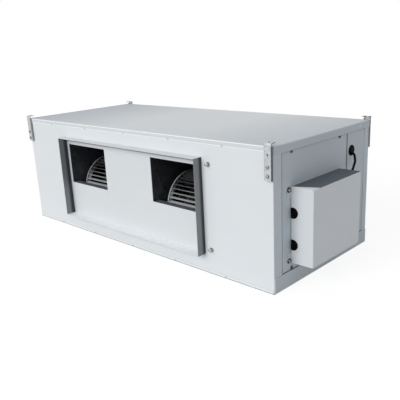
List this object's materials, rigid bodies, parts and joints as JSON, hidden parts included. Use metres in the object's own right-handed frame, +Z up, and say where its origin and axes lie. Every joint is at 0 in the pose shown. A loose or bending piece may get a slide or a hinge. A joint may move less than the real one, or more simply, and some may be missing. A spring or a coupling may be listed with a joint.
{
  "type": "ducted indoor unit",
  "caption": "Concealed ducted air conditioner indoor unit: sheet metal casing, forward-curved blowers on a shared motor, finned coil, sliding filters, supply collar, hangers and side control box.",
  "frame": {"origin": "centre of the casing on the plane of its underside", "axes": "+X along the casing towards the control box, +Y from the supply collar to the return side, +Z up"},
  "size_m": [1.448, 0.598, 0.452],
  "materials": {
    "casing_paint": "smooth pale grey coated sheet, semi-matt",
    "galvanised_steel": "zinc coated sheet, satin",
    "blower_sheet": "dark zinc coated sheet, satin",
    "wheel_steel": "bright zinc coated steel",
    "motor_paint": "dark enamel",
    "fin_aluminium": "mill finish fins",
    "copper_tube": "drawn copper",
    "black_rubber": "matt black rubber",
    "liner_foam": "closed cell foam",
    "white_plastic": "moulded plastic",
    "board_green": "coated board",
    "filter_mesh": "black woven mesh in a plastic frame"
  },
  "bodies": {
    "casing": {"base_pan": "casing_paint", "box_grommet": "black_rubber", "cable_entry_lower": "black_rubber", "cable_entry_upper": "black_rubber", "circuit_board": "board_green", "coil_end_left": "fin_aluminium", "coil_end_right": "fin_aluminium", "coil_fins": "fin_aluminium", "control_box_cover": "casing_paint", "control_box_tray": "casing_paint", "drain_pan": "white_plastic", "drain_spout": "white_plastic", "filter_rail_bottom": "galvanised_steel", "filter_rail_top": "galvanised_steel", "front_panel": "casing_paint", "gas_flare_nut": "copper_tube", "gas_line": "copper_tube", "hanger_front_left": "galvanised_steel", "hanger_front_right": "galvanised_steel", "hanger_rear_left": "galvanised_steel", "hanger_rear_right": "galvanised_steel", "lead_grommet": "black_rubber", "left_access_panel": "casing_paint", "left_housing_inner_side": "blower_sheet", "left_housing_outer_side": "blower_sheet", "left_liner": "liner_foam", "left_rear_panel": "casing_paint", "left_scroll": "blower_sheet", "liquid_flare_nut": "copper_tube", "liquid_line": "copper_tube", "motor_bell_left": "motor_paint", "motor_bell_right": "motor_paint", "motor_capacitor": "white_plastic", "motor_cradle": "galvanised_steel", "motor_cushion_left": "black_rubber", "motor_cushion_right": "black_rubber", "motor_lead": "black_rubber", "motor_stator": "motor_paint", "motor_strap_left": "galvanised_steel", "motor_strap_right": "galvanised_steel", "outlet_deck": "galvanised_steel", "rear_frame": "casing_paint", "right_access_panel": "casing_paint", "right_housing_inner_side": "blower_sheet", "right_housing_outer_side": "blower_sheet", "right_liner": "liner_foam", "right_rear_panel": "casing_paint", "right_scroll": "blower_sheet", "supply_collar": "galvanised_steel", "terminal_block": "white_plastic", "top_cover": "casing_paint"},
    "blower_rotor": {"left_impeller": "wheel_steel", "right_impeller": "wheel_steel", "motor_rotor": "wheel_steel", "motor_shaft": "wheel_steel"},
    "left_filter": {"left_filter": "filter_mesh"},
    "right_filter": {"right_filter": "filter_mesh"}
  },
  "joints": [
    {"name": "fan_spin", "type": "hinge", "parent": "casing", "child": "blower_rotor", "pos_m": [0, -0.11534, 0.17], "axis": [1, 0, 0], "continuous": true},
    {"name": "left_filter_slide", "type": "slide", "parent": "casing", "child": "left_filter", "axis": [-1, 0, 0], "range_m": [0, 0.5]},
    {"name": "right_filter_slide", "type": "slide", "parent": "casing", "child": "right_filter", "axis": [1, 0, 0], "range_m": [0, 0.5]}
  ]
}
